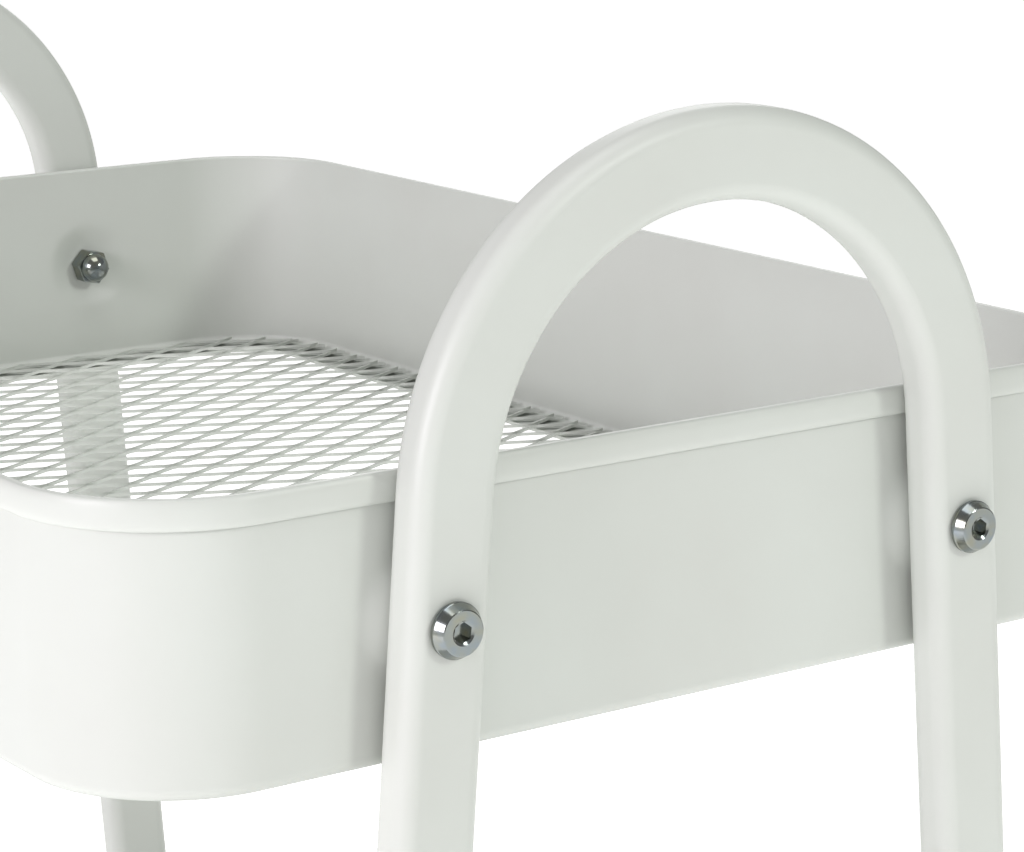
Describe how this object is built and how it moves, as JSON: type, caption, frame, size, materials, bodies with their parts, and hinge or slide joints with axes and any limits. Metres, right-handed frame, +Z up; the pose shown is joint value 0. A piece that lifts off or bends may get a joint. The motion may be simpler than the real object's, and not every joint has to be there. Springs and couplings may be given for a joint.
{
  "type": "rolling utility cart",
  "caption": "Tall narrow rolling cart with stacked rectangular mesh-floored metal trays between two arched tube side frames, on swivelling twin-wheel casters.",
  "frame": {"origin": "on the ground, under the middle of the cart", "axes": "+Z up, +X along the trays towards the braked casters, +Y across the trays"},
  "size_m": [0.4348, 0.286, 0.7344],
  "materials": {
    "powder_coat": "satin off-white powder coat on steel",
    "coated_mesh": "satin off-white powder coat on expanded steel mesh",
    "zinc_plate": "bright zinc-plated steel",
    "black_nylon": "moulded black nylon",
    "wheel_tyre": "dark grey moulded wheel with a soft tread"
  },
  "bodies": {
    "root": {"side_frame_front": "powder_coat", "side_frame_rear": "powder_coat", "bottom_tray_wall": "powder_coat", "bottom_tray_mesh": "coated_mesh", "bottom_bolt_front_left": "zinc_plate", "bottom_nut_front_left": "zinc_plate", "bottom_bolt_front_right": "zinc_plate", "bottom_nut_front_right": "zinc_plate", "bottom_bolt_rear_left": "zinc_plate", "bottom_nut_rear_left": "zinc_plate", "bottom_bolt_rear_right": "zinc_plate", "bottom_nut_rear_right": "zinc_plate", "middle_tray_wall": "powder_coat", "middle_tray_mesh": "coated_mesh", "middle_bolt_front_left": "zinc_plate", "middle_nut_front_left": "zinc_plate", "middle_bolt_front_right": "zinc_plate", "middle_nut_front_right": "zinc_plate", "middle_bolt_rear_left": "zinc_plate", "middle_nut_rear_left": "zinc_plate", "middle_bolt_rear_right": "zinc_plate", "middle_nut_rear_right": "zinc_plate", "top_tray_wall": "powder_coat", "top_tray_mesh": "coated_mesh", "top_bolt_front_left": "zinc_plate", "top_nut_front_left": "zinc_plate", "top_bolt_front_right": "zinc_plate", "top_nut_front_right": "zinc_plate", "top_bolt_rear_left": "zinc_plate", "top_nut_rear_left": "zinc_plate", "top_bolt_rear_right": "zinc_plate", "top_nut_rear_right": "zinc_plate", "leg_plug_front_left": "black_nylon", "caster_front_left_stem": "zinc_plate", "leg_plug_front_right": "black_nylon", "caster_front_right_stem": "zinc_plate", "leg_plug_rear_left": "black_nylon", "caster_rear_left_stem": "zinc_plate", "leg_plug_rear_right": "black_nylon", "caster_rear_right_stem": "zinc_plate"},
    "caster_front_left_swivel": {"caster_front_left_hood": "black_nylon", "caster_front_left_axle": "zinc_plate"},
    "caster_front_left_wheel_a": {"caster_front_left_wheel_a": "wheel_tyre"},
    "caster_front_left_wheel_b": {"caster_front_left_wheel_b": "wheel_tyre"},
    "caster_front_left_brake": {"caster_front_left_brake_pedal": "black_nylon"},
    "caster_front_right_swivel": {"caster_front_right_hood": "black_nylon", "caster_front_right_axle": "zinc_plate"},
    "caster_front_right_wheel_a": {"caster_front_right_wheel_a": "wheel_tyre"},
    "caster_front_right_wheel_b": {"caster_front_right_wheel_b": "wheel_tyre"},
    "caster_front_right_brake": {"caster_front_right_brake_pedal": "black_nylon"},
    "caster_rear_left_swivel": {"caster_rear_left_hood": "black_nylon", "caster_rear_left_axle": "zinc_plate"},
    "caster_rear_left_wheel_a": {"caster_rear_left_wheel_a": "wheel_tyre"},
    "caster_rear_left_wheel_b": {"caster_rear_left_wheel_b": "wheel_tyre"},
    "caster_rear_right_swivel": {"caster_rear_right_hood": "black_nylon", "caster_rear_right_axle": "zinc_plate"},
    "caster_rear_right_wheel_a": {"caster_rear_right_wheel_a": "wheel_tyre"},
    "caster_rear_right_wheel_b": {"caster_rear_right_wheel_b": "wheel_tyre"}
  },
  "joints": [
    {"name": "caster_front_left_swivel", "type": "hinge", "parent": "root", "child": "caster_front_left_swivel", "pos_m": [0.20805, 0.11274, 0.05], "axis": [0, 0, 1], "continuous": true},
    {"name": "caster_front_left_wheel_a_spin", "type": "hinge", "parent": "caster_front_left_swivel", "child": "caster_front_left_wheel_a", "pos_m": [0.18805, 0.11274, 0.025], "axis": [0, 1, 0], "continuous": true},
    {"name": "caster_front_left_wheel_b_spin", "type": "hinge", "parent": "caster_front_left_swivel", "child": "caster_front_left_wheel_b", "pos_m": [0.18805, 0.11274, 0.025], "axis": [0, 1, 0], "continuous": true},
    {"name": "caster_front_left_brake_press", "type": "hinge", "parent": "caster_front_left_swivel", "child": "caster_front_left_brake", "pos_m": [0.16563, 0.11274, 0.0499], "axis": [0, -1, 0], "range_deg": [0, 16]},
    {"name": "caster_front_right_swivel", "type": "hinge", "parent": "root", "child": "caster_front_right_swivel", "pos_m": [0.20805, -0.11274, 0.05], "axis": [0, 0, 1], "continuous": true},
    {"name": "caster_front_right_wheel_a_spin", "type": "hinge", "parent": "caster_front_right_swivel", "child": "caster_front_right_wheel_a", "pos_m": [0.18805, -0.11274, 0.025], "axis": [0, 1, 0], "continuous": true},
    {"name": "caster_front_right_wheel_b_spin", "type": "hinge", "parent": "caster_front_right_swivel", "child": "caster_front_right_wheel_b", "pos_m": [0.18805, -0.11274, 0.025], "axis": [0, 1, 0], "continuous": true},
    {"name": "caster_front_right_brake_press", "type": "hinge", "parent": "caster_front_right_swivel", "child": "caster_front_right_brake", "pos_m": [0.16563, -0.11274, 0.0499], "axis": [0, -1, 0], "range_deg": [0, 16]},
    {"name": "caster_rear_left_swivel", "type": "hinge", "parent": "root", "child": "caster_rear_left_swivel", "pos_m": [-0.20805, 0.11274, 0.05], "axis": [0, 0, 1], "continuous": true},
    {"name": "caster_rear_left_wheel_a_spin", "type": "hinge", "parent": "caster_rear_left_swivel", "child": "caster_rear_left_wheel_a", "pos_m": [-0.18805, 0.11274, 0.025], "axis": [0, 1, 0], "continuous": true},
    {"name": "caster_rear_left_wheel_b_spin", "type": "hinge", "parent": "caster_rear_left_swivel", "child": "caster_rear_left_wheel_b", "pos_m": [-0.18805, 0.11274, 0.025], "axis": [0, 1, 0], "continuous": true},
    {"name": "caster_rear_right_swivel", "type": "hinge", "parent": "root", "child": "caster_rear_right_swivel", "pos_m": [-0.20805, -0.11274, 0.05], "axis": [0, 0, 1], "continuous": true},
    {"name": "caster_rear_right_wheel_a_spin", "type": "hinge", "parent": "caster_rear_right_swivel", "child": "caster_rear_right_wheel_a", "pos_m": [-0.18805, -0.11274, 0.025], "axis": [0, 1, 0], "continuous": true},
    {"name": "caster_rear_right_wheel_b_spin", "type": "hinge", "parent": "caster_rear_right_swivel", "child": "caster_rear_right_wheel_b", "pos_m": [-0.18805, -0.11274, 0.025], "axis": [0, 1, 0], "continuous": true}
  ]
}
